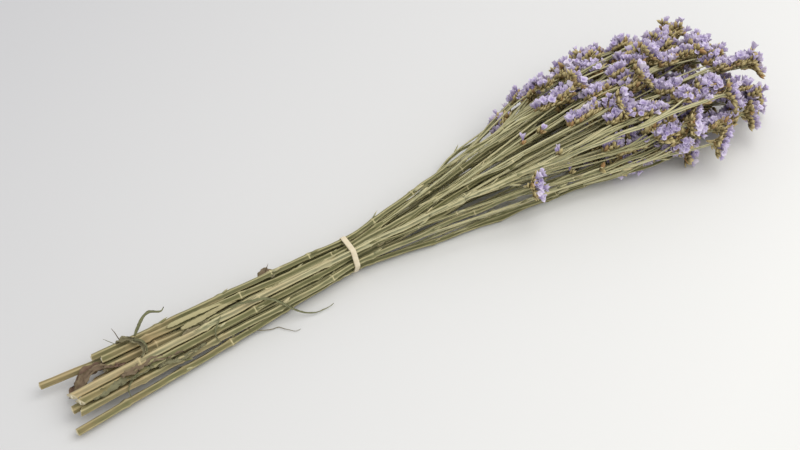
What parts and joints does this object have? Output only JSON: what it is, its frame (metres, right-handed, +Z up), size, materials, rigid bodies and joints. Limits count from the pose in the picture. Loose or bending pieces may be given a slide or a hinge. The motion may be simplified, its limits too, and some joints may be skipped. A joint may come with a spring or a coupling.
{
  "type": "dried statice bunch",
  "caption": "Bunch of dried winged stems with papery lavender flower heads, held by one flat elastic band and lying on its side.",
  "frame": {"origin": "on the surface the bunch lies on, under the middle of the elastic band", "axes": "+X along the bunch from the cut stem ends to the flowers, +Z up, +Y to the left of +X"},
  "size_m": [0.6611, 0.1622, 0.0883],
  "materials": {
    "dried_stem": "matt dried sage green, browner towards the cuts and on the bracts",
    "dried_floret": "matt papery lavender, paler at the rims",
    "elastic": "cream, slightly glossy"
  },
  "bodies": {
    "root": {"stem_01": "dried_stem", "stem_02": "dried_stem", "stem_03": "dried_stem", "stem_04": "dried_stem", "stem_05": "dried_stem", "stem_06": "dried_stem", "stem_07": "dried_stem", "stem_08": "dried_stem", "stem_09": "dried_stem", "stem_10": "dried_stem", "stem_11": "dried_stem", "stem_12": "dried_stem", "stem_13": "dried_stem", "stem_14": "dried_stem", "stem_15": "dried_stem", "stem_16": "dried_stem", "head_01": "dried_floret", "head_02": "dried_floret", "head_03": "dried_floret", "head_04": "dried_floret", "head_05": "dried_floret", "head_06": "dried_floret", "head_07": "dried_floret", "head_08": "dried_floret", "head_09": "dried_floret", "head_10": "dried_floret", "head_11": "dried_floret", "head_12": "dried_floret", "head_13": "dried_floret", "head_14": "dried_floret", "head_15": "dried_floret", "head_16": "dried_floret", "head_17": "dried_floret", "head_18": "dried_floret", "head_19": "dried_floret", "head_20": "dried_floret", "head_21": "dried_floret", "head_22": "dried_floret", "head_23": "dried_floret", "head_24": "dried_floret", "head_25": "dried_floret", "head_26": "dried_floret", "head_27": "dried_floret", "head_28": "dried_floret", "head_29": "dried_floret", "head_30": "dried_floret", "head_31": "dried_floret", "head_32": "dried_floret", "head_33": "dried_floret", "head_34": "dried_floret", "head_35": "dried_floret", "head_36": "dried_floret", "head_37": "dried_floret", "head_38": "dried_floret", "head_39": "dried_floret", "head_40": "dried_floret", "head_41": "dried_floret", "head_42": "dried_floret", "head_43": "dried_floret", "elastic_band": "elastic"}
  },
  "joints": []
}
